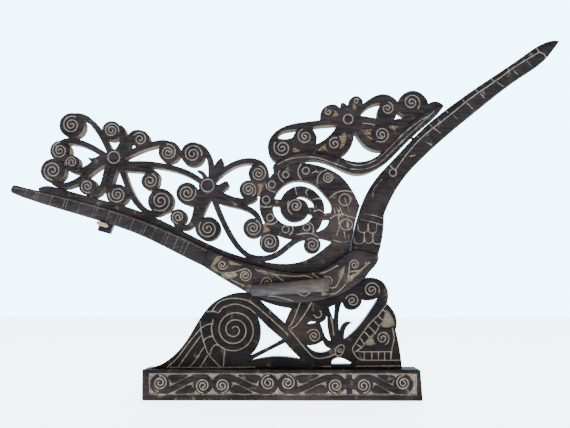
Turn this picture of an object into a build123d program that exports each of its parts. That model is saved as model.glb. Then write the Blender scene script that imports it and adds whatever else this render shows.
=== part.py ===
from build123d import *
import math
import os

# A carved display piece: a long-beaked bird in openwork planks, standing on a
# carved foot panel that is let into a plinth.  Millimetres, +Z up, +X towards
# the beak.  The origin is the centre of the plinth's underside.
# Side-view outlines are drawn as (x, h), with h measured up from the plinth's top.

PLINTH_LENGTH = 408.0
PLINTH_DEPTH = 60.0
PLINTH_HEIGHT = 45.0
PLINTH_LEAN = 3.0           # the right end is sawn slightly out of square
FRIEZE_LOW = 9.0            # the plinth's recessed frieze, measured from its underside
FRIEZE_HIGH = 39.0
FRIEZE_LEFT = -193.0
FRIEZE_RIGHT = 195.0
FRIEZE_DEPTH = 2.5
FRIEZE_MIDDLE = (FRIEZE_LOW + FRIEZE_HIGH) / 2
SCROLL_RADIUS = 14.2        # coils at the ends of the plinth's S-scrolls
SCROLL_BAND = 8.5           # the band that joins two coils
PLINTH_ROUNDING = 1.5

FOOT_THICKNESS = 24.0
BODY_THICKNESS = 44.0
CREST_THICKNESS = 26.0
UPPER_RAIL_THICKNESS = 32.0
POCKET_DEPTH = 3.0          # unpierced ground between some carved scrolls

TENON_THICKNESS = 12.0
TENON_LENGTH = 28.0
MORTISE_CLEARANCE = 1.0     # below the end of each foot tenon
TENON_GAP = 0.1             # all round a tenon in its mortise

DOWEL_RADIUS = 6.0          # large dowels at the neck and the tail
PEG_RADIUS = 5.0            # foot-to-body and wing-bar dowels
RAIL_PIN_RADIUS = 4.0
CREST_PIN_RADIUS = 2.0
PIN_GAP = 0.05              # radial gap of every dowel in its hole

TALLER_THAN_ALL = 1000.0    # height of the wedges that taper the tail and the neck in plan
STEM_WIDTH = 8.3            # the crest's curling stems, seen from the side

WING_BAR_LENGTH = 114.0
WING_BAR_RADII = (8.5, 10.5)
WING_BAR_SEAT = 7.0         # how far the bar's axis stands off the body's face
WING_BAR_TILT = 4.6         # the bar rises towards the neck
WING_BAR_ROUNDING = 2.5
WING_BAR_DOWEL_END = BODY_THICKNESS / 2 + 11

HUB_LEFT = (-252, 314)
HUB_RIGHT = (-111.5, 271.5)


# ---------------------------------------------------------------- drawing tools
def outline(*runs):
    """A face inside a chain of smooth runs; straight lines close any gap from one run to the next."""
    edges = []
    for run, following in zip(runs, runs[1:] + runs[:1]):
        if len(run) == 2:
            edges.append(Line(*run))
        elif len(run) > 2:
            edges.append(Spline(*run))
        if run[-1] != following[0]:
            edges.append(Line(run[-1], following[0]))
    return make_face(Curve() + edges)


def leaf(*points):
    """A rounded shape through the given points."""
    return make_face(Spline(*points, periodic=True))


def disc(x, h, radius):
    return Pos(x, h) * Circle(radius)


def stem(points, width=STEM_WIDTH):
    """A band of even width along a centre line drawn by hand."""
    left = []
    right = []
    for index, (x, h) in enumerate(points):
        before = points[max(index - 1, 0)]
        after = points[min(index + 1, len(points) - 1)]
        run_x = after[0] - before[0]
        run_h = after[1] - before[1]
        scale = width / 2 / math.hypot(run_x, run_h)
        left.append((x - run_h * scale, h + run_x * scale))
        right.append((x + run_h * scale, h - run_x * scale))
    edges = [Spline(*left), Line(left[-1], right[-1]), Spline(*right), Line(right[0], left[0])]
    return make_face(Curve() + edges)


def plank(face, thickness):
    """Thicken a side-view face equally to both sides of the middle plane."""
    placed = Plane.XZ * Pos(0, PLINTH_HEIGHT) * face
    return extrude(placed, amount=thickness / 2, both=True)


def pockets(faces, thickness, depth):
    """Shallow recesses in the front and the back face of a plank."""
    cuts = []
    for face in faces:
        for side in (-1, 1):
            shift = side * (thickness / 2 - depth / 2)
            cuts.append(Pos(0, shift, 0) * plank(face, depth))
    return cuts


def dowel(start, end, radius):
    """A round pin between two (x, h) points in the middle plane."""
    first = Vector(start[0], 0, start[1] + PLINTH_HEIGHT)
    last = Vector(end[0], 0, end[1] + PLINTH_HEIGHT)
    axis = Plane(origin=first, z_dir=last - first)
    return extrude(axis * Circle(radius), amount=(last - first).length)


def cross_dowel(x, h, radius, length):
    """A round pin straight through from front to back."""
    return plank(disc(x, h, radius), length)


def save(part, name):
    part.label = name
    export_step(part, f"parts/{name}.step")


# ---------------------------------------------------------------- shared joints
# The crest's rail sits on the tail and on the body along this line.
RAIL_ON_TAIL = [(-364, 264.6), (-352, 262), (-300, 249), (-250, 234.5), (-200, 217), (-150, 195.5),
                (-110, 176.5)]
RAIL_ON_BODY = [(-110, 176.5), (-80, 163.5), (-40, 152), (0, 143), (30, 141), (55, 144.5), (80, 158),
                (100.2, 173)]
# The body rests on the foot panel along this line.
BODY_ON_FOOT = [(-53, 113), (-35, 105.5), (0, 98), (30, 97.5), (60, 102), (88, 111), (110, 124.5),
                (123, 134)]
# The upper crest's left end lies on the coiled ring here.
CREST_ON_RING = [(20, 304.5), (4, 298), (-12, 292)]
NECK_JOINT = [(101.8, 174.5), (118, 173.5), (142, 167)]

NECK_DOWEL = [(122, 148), (124, 197)]
TAIL_DOWEL = [(-90.5, 154), (-136.5, 175)]
FOOT_TENONS = [(-158, -98), (116, 164)]
FOOT_DOWELS = [[(32, 74), (32, 120)], [(112, 104), (112, 148)]]
RAIL_PINS = [[(-30, 128), (-30, 161)], [(84, 135), (84, 186)]]
RING_PIN = [(33.5, 294), (33.5, 319)]
BEAK_PIN = [(205, 335), (188, 352)]
# A tenon of the crest goes down through the tail and is locked below it by a flat peg.
TENON_SIDES = [(-277, 205), (-258.5, 200), (-244, 238), (-268, 246)]
TAIL_PEG_CENTRE = (-267.4, 213.7)
TAIL_PEG_SIZE = (15, 6)
TAIL_PEG_TILT = -16.0
TAIL_PEG_LENGTH = 46.0
WING_BAR_CENTRE = (11.4, 119.5)


# ---------------------------------------------------------------- plinth and foot
def s_scroll(left, right, rise):
    """One lying S-scroll with a leaf on each side of its band; the band climbs when rise is 1."""
    middle = (left + right) / 2
    reach = (right - left) / 2
    lift = rise * SCROLL_RADIUS

    def place(along, up):
        return (middle + along * reach, FRIEZE_MIDDLE + up * lift)

    band = [place(-1, -0.72), place(-0.58, -0.6), place(0, 0), place(0.58, 0.6), place(1, 0.72)]
    # Each leaf starts beside a coil and ends in the narrow corner between band and border.
    start = SCROLL_RADIUS / reach - 1
    petal = [(start + 0.01, 0.42), (start - 0.07, 0.74), (-0.25, 0.93), (0.1, 0.94), (0.3, 0.9),
             (0.1, 0.6), (-0.1, 0.36), (-0.3, 0.14), (start + 0.07, 0.15)]
    upper_leaf = leaf(*[place(along, up) for along, up in petal])
    lower_leaf = leaf(*[place(-along, -up) for along, up in petal])
    coils = [disc(x, FRIEZE_MIDDLE, SCROLL_RADIUS) for x in (left, right)]
    return [*coils, stem(band, SCROLL_BAND), upper_leaf, lower_leaf]


def plinth_carving():
    """What is left standing in the plinth's frieze, drawn as (x, z)."""
    faces = []
    for left, right, rise in ((-178, -115, 1), (-87.5, -20, -1), (8, 78, 1), (118, 176, -1)):
        faces += s_scroll(left, right, rise)
    between = 97.5
    faces.append(Pos(between, FRIEZE_MIDDLE) * Rectangle(8, FRIEZE_HIGH - FRIEZE_LOW - 2))
    faces.append(Pos(between, FRIEZE_MIDDLE) * Rectangle(15, SCROLL_RADIUS))
    return faces


def make_plinth():
    half = PLINTH_LENGTH / 2
    side = [(-half, 0), (half, 0), (half - PLINTH_LEAN, PLINTH_HEIGHT), (-half, PLINTH_HEIGHT)]
    block = extrude(Plane.XZ * make_face(Polyline(*side, close=True)), amount=PLINTH_DEPTH / 2, both=True)
    block = fillet(block.edges().filter_by(Axis.Y), PLINTH_ROUNDING)
    frieze = Rectangle(FRIEZE_RIGHT - FRIEZE_LEFT, FRIEZE_HIGH - FRIEZE_LOW)
    ground = Sketch() + Pos((FRIEZE_LEFT + FRIEZE_RIGHT) / 2, FRIEZE_MIDDLE) * frieze - plinth_carving()
    for side_sign in (-1, 1):
        shift = side_sign * (PLINTH_DEPTH - FRIEZE_DEPTH) / 2
        block -= Pos(0, shift, 0) * extrude(Plane.XZ * ground, amount=FRIEZE_DEPTH / 2, both=True)
    depth = TENON_LENGTH + MORTISE_CLEARANCE
    for start, end in FOOT_TENONS:
        hole = Box(end - start + 2 * TENON_GAP, TENON_THICKNESS + 2 * TENON_GAP, depth)
        block -= Pos((start + end) / 2, 0, PLINTH_HEIGHT - depth / 2) * hole
    return block


def foot_outline():
    left_sweep = [(-202, 0), (-180, 6), (-160, 20), (-140, 44), (-120, 77), (-100, 99), (-80, 109),
                  (-65, 112.5)]
    right_scroll = [(123, 134), (133, 134.5), (148, 129), (156, 116), (157, 106), (155, 96)]
    wing_edge = [(155, 96), (166, 82), (169.5, 68), (167.5, 57)]
    foot_edge = [(167.5, 57), (173, 31), (176.5, 0)]
    return outline(left_sweep, BODY_ON_FOOT, right_scroll, wing_edge, foot_edge)


def foot_openings():
    """The pierced gaps between the foot panel's volutes, arms and fronds."""
    top_gap = outline([(-33, 100.5), (-12, 93.5), (13, 88.5)], [(13, 88.5), (8, 78), (3.5, 67)],
                      [(3.5, 67), (-15, 84)])
    crescent_gap = outline([(-38, 78), (-32, 57), (-36, 34), (-50, 17.5)], [(-50, 17.5), (-20, 32)],
                           [(0, 43), (-20, 60)])
    base_gap = outline([(-50, 10), (-28, 16), (5, 17.5), (28, 13.5)], [(28, 13.5), (16, 25), (4, 38)],
                       [(4, 38), (-20, 26)])
    left_frond_gap = outline([(67, 79), (68.5, 55), (72.5, 40)], [(72.5, 40), (66, 44), (61, 54), (56, 67)],
                             [(56, 67), (63, 71)])
    slot_gap = outline([(69.5, 90), (78.5, 94.5)], [(78.5, 94.5), (77.5, 82), (76.5, 71)],
                       [(76.5, 71), (72.5, 81)])
    right_frond_gap = outline([(88.5, 99), (83.5, 78), (85.5, 50)],
                              [(85.5, 50), (87, 61), (94, 68.5), (104, 67.5)],
                              [(104, 67.5), (95.5, 62), (92, 53), (91.5, 43)],
                              [(91.5, 43), (110, 59), (130, 85), (143.5, 106)],
                              [(143.5, 106), (131, 100.5), (118, 101.5)],
                              [(118, 101.5), (112, 89.5), (102, 86), (93, 89.5)])
    smile_gap = outline([(36, 34), (48, 35), (60, 41)], [(60, 41), (64, 33), (73, 29)],
                        [(73, 29), (58, 23.5), (44, 27)])
    brow_gap = outline([(37, 66), (43, 69.5), (50.5, 67.5)], [(50.5, 67.5), (43, 66)])
    arch_gap = outline([(73, 6.5), (75, 13), (84, 16), (94, 13), (104, 6.5)], [(104, 6.5)])
    return [top_gap, crescent_gap, base_gap, left_frond_gap, slot_gap, right_frond_gap,
            smile_gap, brow_gap, arch_gap]


def wing_pockets():
    """Ground between the ladder border and the scroll in the foot's right-hand panel."""
    upper = outline([(153, 88), (162, 78), (167, 64)], [(167, 64), (158, 60), (146, 61)], [(146, 61)])
    lower = outline([(136, 55), (120, 36)], [(120, 36), (136, 34.5), (139, 36)], [(139, 36), (135, 43),
                                                                                  (136, 50)])
    return [upper, lower]


def make_foot_panel():
    panel = plank(Sketch() + foot_outline() - foot_openings(), FOOT_THICKNESS)
    panel -= pockets(wing_pockets(), FOOT_THICKNESS, POCKET_DEPTH)
    for start, end in FOOT_TENONS:
        tenon = Box(end - start, TENON_THICKNESS, TENON_LENGTH)
        panel += Pos((start + end) / 2, 0, PLINTH_HEIGHT - TENON_LENGTH / 2) * tenon
    for ends in FOOT_DOWELS:
        panel -= dowel(*ends, PEG_RADIUS + PIN_GAP)
    return panel


# ---------------------------------------------------------------- bird's body, tail and neck
def body_outline():
    under_left = [(-117, 151.3), (-100, 140.3), (-80, 128), (-53, 113)]
    breast = [(123, 134), (132, 146), (140.5, 157), (142, 167)]
    return outline(RAIL_ON_BODY, [RAIL_ON_BODY[-1]], NECK_JOINT, breast[::-1],
                   BODY_ON_FOOT[::-1], under_left[::-1], [under_left[0]])


def body_pockets():
    """Recessed ground of the frieze carved along the body."""
    left_band = outline([(-101, 143), (-103, 152), (-96, 166)], [(-96, 166), (-90, 163), (-94, 158),
                                                                 (-99, 150)],
                        [(-99, 150), (-92, 143), (-78, 142)], [(-78, 142), (-66, 137), (-72, 133),
                                                               (-90, 139)])
    upper_lens = outline([(-81, 161), (-70, 156.5), (-56, 152)], [(-56, 152), (-70, 151.5), (-78, 153)])
    lower_lens = outline([(-60, 121), (-50, 123), (-46, 125)], [(-46, 125), (-47, 118)])
    middle_lens = outline([(-37, 147), (-28, 145), (-14, 139)], [(-14, 139), (-26, 139), (-31, 142)])
    right_blade = outline([(93, 155), (91, 141), (86, 128), (80, 119)], [(80, 119), (84, 129), (83, 139)],
                          [(83, 139), (88, 147)])
    breast_wedge = outline([(121, 160), (128, 154)], [(128, 154), (112, 138), (94, 123)],
                           [(94, 123), (98, 135), (112, 143), (122, 152)])
    leg_wedge = outline([(56, 105.5), (58, 114)], [(58, 114), (64, 111.3), (75, 110.5)], [(75, 110.5),
                                                                                          (64, 107)])
    return [left_band, upper_lens, lower_lens, middle_lens, right_blade, breast_wedge, leg_wedge]


def make_body():
    block = plank(body_outline(), BODY_THICKNESS)
    block -= pockets(body_pockets(), BODY_THICKNESS, POCKET_DEPTH)
    block -= cross_dowel(*WING_BAR_CENTRE, PEG_RADIUS + PIN_GAP, BODY_THICKNESS + 2)
    holes = [(NECK_DOWEL, DOWEL_RADIUS), (TAIL_DOWEL, DOWEL_RADIUS)]
    holes += [(ends, PEG_RADIUS) for ends in FOOT_DOWELS]
    holes += [(ends, RAIL_PIN_RADIUS) for ends in RAIL_PINS]
    for ends, radius in holes:
        block -= dowel(*ends, radius + PIN_GAP)
    return block


def taper(stations):
    """A plan-view wedge, symmetric front to back, through (x, width) stations."""
    front = [(x, -width / 2) for x, width in stations]
    back = [(x, width / 2) for x, width in reversed(stations)]
    plan = outline(front, back)
    return extrude(plan, amount=TALLER_THAN_ALL)


def make_tail_blade():
    top = [(-364, 264.6), (-390, 270.6), (-399, 273)]
    tip = [(-399, 273), (-404.5, 272.4), (-407.3, 268.3), (-406.7, 262.6)]
    under = [(-406.7, 262.6), (-403, 260.5), (-390, 255.2), (-350, 242.3), (-300, 227.5), (-250, 212),
             (-200, 192.4), (-150, 167.4), (-117, 151.3)]
    side = outline(RAIL_ON_TAIL[::-1], top, tip, under, [under[-1]])
    blade = plank(side, BODY_THICKNESS) & taper([(-408, 18), (-300, 29), (-200, 36), (-105, 40)])
    slot = plank(make_face(Polyline(*TENON_SIDES, close=True)), TENON_THICKNESS + 2 * TENON_GAP)
    blade -= slot
    blade -= dowel(*TAIL_DOWEL, DOWEL_RADIUS + PIN_GAP)
    return blade


def tail_peg_face(gap):
    long_side, short_side = TAIL_PEG_SIZE
    face = RectangleRounded(long_side + 2 * gap, short_side + 2 * gap, short_side / 2 - 0.2)
    return Pos(*TAIL_PEG_CENTRE) * Rot(0, 0, TAIL_PEG_TILT) * face


def make_neck_beak():
    crown = [(101.8, 174.5), (105.8, 197), (112.8, 225), (120, 247), (138, 280), (165, 310), (205, 352),
             (250, 389.5), (300, 425), (360, 466), (390, 486), (408, 492), (418.5, 491.5)]
    under_beak = [(418.5, 491.5), (410, 480), (398, 465), (360, 437), (300, 391.5), (250, 350.5),
                  (210, 314),
                  (180, 281), (164, 256), (151, 227)]
    throat = [(151, 227), (149.5, 200), (142, 167)]
    side = outline(crown, under_beak, throat, NECK_JOINT[::-1])
    neck = plank(side, BODY_THICKNESS) & taper([(90, 40), (160, 38), (250, 32), (350, 22), (420, 8)])
    neck -= dowel(*NECK_DOWEL, DOWEL_RADIUS + PIN_GAP)
    neck -= dowel(*BEAK_PIN, CREST_PIN_RADIUS + PIN_GAP)
    return neck


# ---------------------------------------------------------------- lower crest with the coiled ring
LEFT_SPRAY_DISCS = [(-316, 363.2, 18.6), (-333, 324.5, 15.2), (-343.5, 294.5, 18.3), (-315, 307, 11),
                    (-291.3, 271, 13), (-246.3, 258.2, 16.3), (-256, 354.8, 14.6), (-212.5, 341.6, 13.6),
                    (-169.2, 322.6, 16.3), (-197.5, 278.5, 13.4), (-181.5, 248.5, 19.3)]
RIGHT_SPRAY_DISCS = [(-134, 319.2, 18), (-142, 260.2, 16.5), (-155, 224.5, 12.5), (-110.3, 207.2, 18.2),
                     (-35.3, 289.8, 15.4), (-50, 265.5, 14.3), (-43.5, 208, 15.2), (-19, 187, 15.3),
    (44.5, 183, 12.8)]


def left_spray():
    """Scrolls that spring from the left hub."""
    stems = [
        [(-314, 377), (-303, 377), (-293, 373), (-284, 365), (-270, 345.5), (-257, 319)],
        [(-334, 334), (-323, 339.5), (-311, 339), (-288, 331), (-264, 317)],
        [(-345, 281), (-334, 272.8), (-322, 273), (-303, 281.8), (-286, 294.8), (-262, 310)],
        [(-322, 301), (-315, 296), (-304, 294.5), (-286, 303), (-258, 314)],
        [(-289, 262), (-280, 259.5), (-272.5, 266), (-265, 286), (-256, 308)],
        [(-256, 250), (-259.5, 260), (-256, 282), (-252.5, 308)],
        [(-250, 320), (-240, 337), (-238.5, 349), (-245, 362)],
        [(-245, 318), (-232, 335), (-229, 344), (-223, 350.5), (-214, 351.8), (-206, 347)],
        [(-168, 334), (-178, 336.5), (-190, 335), (-214, 327.5), (-240, 315)],
        [(-243, 301), (-220, 297), (-198, 294), (-189.5, 289.5), (-187, 281)],
        [(-245, 306), (-233, 275), (-221.5, 251.5), (-204, 234), (-190, 230), (-179, 233)],
    ]
    faces = [disc(*HUB_LEFT, 13)]
    faces += [disc(*values) for values in LEFT_SPRAY_DISCS]
    faces += [stem(points) for points in stems]
    leaf_top = [(-262, 322), (-272, 319), (-278, 315.4), (-285, 313.6), (-291.5, 314.7)]
    leaf_bottom = [(-291.5, 314.7), (-288, 309.5), (-282, 305.5), (-268, 303)]
    faces.append(outline(leaf_top, leaf_bottom))
    return faces


def right_spray():
    """Scrolls and leaves that spring from the right hub."""
    stems = [
        [(-248, 311), (-234, 305.5), (-215, 305), (-174, 300.5), (-146, 292.5), (-114, 272)],
        [(-128, 332), (-119, 328), (-107.5, 306), (-107.5, 280)],
        [(-142, 247.5), (-134, 245.5), (-126, 249), (-113, 267)],
        [(-160, 216), (-151, 210), (-142, 209.5), (-132, 222), (-114, 263)],
        [(-119, 196), (-125.5, 205), (-126, 216), (-111, 262)],
        [(-108, 275), (-98, 286), (-82, 298.5), (-62, 307.5), (-46, 309), (-31, 303.5), (-24.5, 292)],
        [(-104, 264), (-85, 255.5), (-63, 249), (-48, 249.5), (-39, 257)],
        [(-103, 256), (-93, 249.5), (-60, 240.5), (-41, 230.5), (-33, 213)],
        [(-108, 268), (-98, 240), (-84.5, 210), (-66, 180.5), (-49, 166.5), (-30, 163), (-10, 168),
         (14, 186), (31, 194.5), (46, 192)],
    ]
    faces = [disc(*HUB_RIGHT, 13.5)]
    faces += [disc(*values) for values in RIGHT_SPRAY_DISCS]
    faces += [stem(points) for points in stems]
    hook_top = [(-110, 281), (-115.7, 291), (-122, 295), (-128.3, 294)]
    faces.append(outline(hook_top, [(-128.3, 294), (-122.8, 290), (-119.5, 284), (-119.5, 277)]))
    bud_left = [(-104, 281), (-103, 296), (-97, 309), (-90.7, 313.5)]
    faces.append(outline(bud_left, [(-90.7, 313.5), (-88, 306), (-89.5, 296), (-97, 281)]))
    faces.append(leaf((-104, 276), (-92, 275), (-82, 278.3), (-79.5, 273), (-85, 266), (-103, 264)))
    return faces


def rail_and_ring():
    """The rail along the bird's back with the broad outer ring rising from it."""
    rail_end = [(-364, 264.6), (-365.2, 267.2), (-360.5, 270.2), (-353, 271.8), (-340, 270)]
    rail_top = [(-340, 270), (-300, 259), (-250, 245.5), (-200, 229), (-150, 205), (-100, 180.5),
                (-53, 164)]
    under_ring = [(-53, 164), (-28, 158.5), (5, 155), (30, 159), (52, 170.5), (74, 188)]
    inner_right = [(74, 188), (58, 192.5), (30, 193)]
    ring_left = [(30, 193), (10, 192.5), (-15, 203), (-30, 223), (-34.5, 248), (-28, 270), (-12, 292)]
    ring_top = [(20, 304.5), (32, 305.3), (60, 300), (85, 287.5), (104, 265), (115.5, 241)]
    ring_right = [(115.5, 241), (108.2, 215), (102.2, 185), (100.2, 173)]
    return outline(rail_end, rail_top, under_ring, inner_right, ring_left,
                   CREST_ON_RING[::-1], ring_top, ring_right,
                   RAIL_ON_BODY[::-1], RAIL_ON_TAIL[::-1])


def ring_openings():
    """The coil's gap: one spiral slit, interrupted by three short bridges."""
    over_top = outline([(-12.5, 252), (-2, 269), (13, 278), (27, 279.3), (46, 274), (63.5, 257.5),
                        (73.5, 238), (71, 231)],
                       [(71, 231)], [(62, 230.5), (62, 244), (52, 260), (38, 269), (22, 271), (6, 263),
                                     (-2.5, 251)],
                       [(-2.5, 251)])
    right_tail = outline([(61, 221.5)], [(70, 221.5), (66, 211.5), (50, 202.5)], [(50, 202.5), (57, 211)])
    underneath = outline([(-14, 241.5), (-10, 225), (2, 214.5), (20, 211.5), (36, 216.5), (45, 228)],
                         [(45, 228)], [(38.5, 230), (28, 220), (12, 218.5), (0, 228), (-4, 241)],
    [(-4, 241)])
    inner_tip = outline([(18, 252), (27, 256.5), (38, 253), (46.5, 245), (47, 239.5)], [(47, 239.5)],
                        [(39, 239.5), (35, 247.5), (27, 252)])
    return [over_top, right_tail, underneath, inner_tip]


def crest_grounds():
    """Small unpierced grounds where scrolls meet the ring."""
    upper = make_face(Polyline((-44, 281), (-22, 281), (-28, 256), (-40, 258), close=True))
    lower = make_face(Polyline((-33, 214), (-22, 216), (-6, 200), (-20, 195), (-33, 197), close=True))
    return [upper, lower]


def make_lower_crest():
    sheet = Sketch() + left_spray() + right_spray() + rail_and_ring() - ring_openings()
    crest = plank(sheet, CREST_THICKNESS)
    for ground in crest_grounds():
        crest += plank(ground, CREST_THICKNESS - 2 * POCKET_DEPTH)
    crest += plank(make_face(Polyline(*TENON_SIDES, close=True)), TENON_THICKNESS)
    crest -= plank(tail_peg_face(TENON_GAP), TENON_THICKNESS + 2)
    for ends in RAIL_PINS:
        crest -= dowel(*ends, RAIL_PIN_RADIUS + PIN_GAP)
    crest -= dowel(*RING_PIN, CREST_PIN_RADIUS + PIN_GAP)
    return crest


# ---------------------------------------------------------------- upper crest
def upper_crest_outline():
    rail_left = [(-12, 292), (-14.5, 299), (-8, 307.5)]
    left_scroll = [(-8, 307.5), (-20, 319), (-20.5, 338), (-8, 354.5), (18, 365), (58, 370.5)]
    bud = [(58, 370.5), (58.5, 384), (71, 393.5), (87, 387.5)]
    small_leaf = [(87, 387.5), (88.5, 396), (98.5, 391.5)]
    top_bud = [(98.5, 391.5), (102.5, 402.5), (111, 406.5), (119, 401.5), (121, 394.5)]
    high_scroll = [(121, 394.5), (135, 404.5), (151, 409.3), (164, 405.5), (172.5, 397.5)]
    beak_scroll = [(172.5, 397.5), (181, 409), (196, 414.3), (210.5, 408), (218.5, 394.5)]
    rail_tip = [(218.5, 394.5), (228, 398), (242, 391)]
    underside = [(242, 391), (230, 377), (210, 359.5), (180, 331), (160, 311), (140, 297), (112, 288.5),
                 (90, 295), (65, 306.5), (40, 310), (20, 304.5)]
    return outline(rail_left, left_scroll, bud, small_leaf, top_bud, high_scroll,
                   beak_scroll, rail_tip, underside, CREST_ON_RING)


def upper_crest_openings():
    left = outline([(-8, 343.3), (-3, 351), (8, 355), (27, 359)], [(27, 359), (19.2, 351.5), (15.2, 343.5)],
                   [(15.2, 343.5), (9, 342), (-8, 343.3)])
    long_gap = outline([(44, 360), (62, 362), (82, 363)], [(82, 363), (70, 346.5), (51, 334)],
                       [(51, 334), (52, 345)])
    wide = outline([(107, 354), (103, 331), (86.5, 315)], [(86.5, 315), (112, 307), (135, 312), (150, 324)],
                   [(150, 324), (133, 326), (117, 338.5)])
    high = outline([(116, 377), (130, 391), (148, 396.5)], [(148, 396.5), (143, 386), (142.5, 372.5)],
                   [(142.5, 372.5), (130, 374.5)])
    narrow = outline([(173.5, 383), (180, 378.5), (190, 375)], [(190, 375), (168, 371)], [(168, 371)])
    return [left, long_gap, wide, high, narrow]


def upper_crest_pockets():
    under_left = outline([(16, 331), (30, 323)], [(30, 323), (15, 320.5)], [(15, 320.5)])
    middle = outline([(48, 324), (66, 334.5)], [(66, 334.5), (66, 327), (71, 322)], [(71, 322),
                                                                                     (58, 322.5)])
    right_scroll = outline([(83, 347), (94.5, 351)], [(94.5, 351), (96, 340), (91, 329), (84, 325)],
                           [(84, 325), (88, 336)])
    bud = outline([(77, 388), (86.5, 376)], [(86.5, 376), (71, 373)], [(71, 373), (77.5, 380)])
    top_bud = outline([(106, 397), (105, 390), (108.5, 383)], [(108.5, 383), (112.5, 389)], [(112.5, 389)])
    palm = outline([(115, 357), (127, 355.5), (141, 361.5)], [(141, 361.5), (132.5, 349), (141, 335)],
                   [(141, 335), (127, 342)])
    wedge = outline([(157, 362), (175, 361)], [(175, 361), (167, 352)], [(167, 352)])
    return [under_left, middle, right_scroll, bud, top_bud, palm, wedge]


def upper_rail():
    """The thicker rail that runs along the bottom of the upper crest."""
    top_line = [(-8, 307.5), (20, 320), (50, 321.5), (82, 314), (112, 306), (140, 313), (170, 342),
                (208, 379),
                (242, 391)]
    underside = [(242, 391), (230, 377), (210, 359.5), (180, 331), (160, 311), (140, 297), (112, 288.5),
                 (90, 295), (65, 306.5), (40, 310), (20, 304.5)]
    return outline([(-12, 292), (-14.5, 299)], top_line, underside, CREST_ON_RING)


def make_upper_crest():
    sheet = Sketch() + upper_crest_outline() - upper_crest_openings()
    crest = plank(sheet, CREST_THICKNESS)
    crest -= pockets(upper_crest_pockets(), CREST_THICKNESS, POCKET_DEPTH)
    crest += plank(upper_rail(), UPPER_RAIL_THICKNESS)
    crest -= dowel(*RING_PIN, CREST_PIN_RADIUS + PIN_GAP)
    crest -= dowel(*BEAK_PIN, CREST_PIN_RADIUS + PIN_GAP)
    return crest


# ---------------------------------------------------------------- wing bars
def make_wing_bar(side):
    """A tapered half-round bar that lies flat against one flank of the body."""
    x, h = WING_BAR_CENTRE
    bar = Rot(0, 90, 0) * Cone(WING_BAR_RADII[0], WING_BAR_RADII[1], WING_BAR_LENGTH)
    bar = fillet(bar.edges(), WING_BAR_ROUNDING)
    bar = Rot(0, -WING_BAR_TILT, 0) * bar
    bar = Pos(x, side * (BODY_THICKNESS / 2 + WING_BAR_SEAT), h + PLINTH_HEIGHT) * bar
    body_space = Box(2 * WING_BAR_LENGTH, BODY_THICKNESS, WING_BAR_LENGTH)
    bar -= Pos(x, 0, h + PLINTH_HEIGHT) * body_space
    bar -= cross_dowel(x, h, PEG_RADIUS + PIN_GAP, 2 * WING_BAR_DOWEL_END)
    return bar


os.makedirs("parts", exist_ok=True)
save(make_plinth(), "plinth")
save(make_foot_panel(), "foot_panel")
save(make_body(), "body")
save(make_tail_blade(), "tail_blade")
save(make_neck_beak(), "neck_beak")
save(make_lower_crest(), "lower_crest")
save(make_upper_crest(), "upper_crest")
save(make_wing_bar(-1), "wing_bar_front")
save(make_wing_bar(1), "wing_bar_back")
save(cross_dowel(*WING_BAR_CENTRE, PEG_RADIUS, 2 * WING_BAR_DOWEL_END), "wing_bar_dowel")
save(plank(tail_peg_face(0), TAIL_PEG_LENGTH), "tail_lock_peg")
save(dowel(*NECK_DOWEL, DOWEL_RADIUS), "neck_dowel")
save(dowel(*TAIL_DOWEL, DOWEL_RADIUS), "tail_dowel")
save(Compound([dowel(*ends, PEG_RADIUS) for ends in FOOT_DOWELS]), "foot_dowels")
save(Compound([dowel(*ends, RAIL_PIN_RADIUS) for ends in RAIL_PINS]), "crest_rail_pins")
save(dowel(*RING_PIN, CREST_PIN_RADIUS), "crest_ring_pin")
save(dowel(*BEAK_PIN, CREST_PIN_RADIUS), "crest_beak_pin")
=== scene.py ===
import math

import bmesh
import bpy
import numpy as np
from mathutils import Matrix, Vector, noise
from mathutils.geometry import delaunay_2d_cdt
from mathutils.kdtree import KDTree


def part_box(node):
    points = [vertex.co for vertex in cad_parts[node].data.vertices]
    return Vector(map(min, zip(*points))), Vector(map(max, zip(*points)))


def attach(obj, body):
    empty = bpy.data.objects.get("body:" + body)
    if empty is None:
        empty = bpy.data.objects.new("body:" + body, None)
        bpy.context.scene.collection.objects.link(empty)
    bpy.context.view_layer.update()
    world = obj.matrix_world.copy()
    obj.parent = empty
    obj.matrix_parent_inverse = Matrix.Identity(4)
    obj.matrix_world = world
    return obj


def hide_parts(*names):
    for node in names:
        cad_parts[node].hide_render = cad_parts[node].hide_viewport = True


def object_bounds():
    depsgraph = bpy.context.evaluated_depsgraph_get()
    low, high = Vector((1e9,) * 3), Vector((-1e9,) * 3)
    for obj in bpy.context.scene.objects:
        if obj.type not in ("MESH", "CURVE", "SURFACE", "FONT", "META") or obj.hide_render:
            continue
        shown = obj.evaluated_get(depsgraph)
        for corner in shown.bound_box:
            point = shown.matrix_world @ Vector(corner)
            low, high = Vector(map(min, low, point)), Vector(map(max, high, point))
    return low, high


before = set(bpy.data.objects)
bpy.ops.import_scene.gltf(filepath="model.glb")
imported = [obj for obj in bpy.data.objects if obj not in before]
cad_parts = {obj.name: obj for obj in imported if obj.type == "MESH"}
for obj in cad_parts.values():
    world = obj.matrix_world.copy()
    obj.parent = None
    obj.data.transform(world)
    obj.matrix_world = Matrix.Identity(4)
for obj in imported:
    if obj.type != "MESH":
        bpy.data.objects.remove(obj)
cad_low, cad_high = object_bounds()

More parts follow.
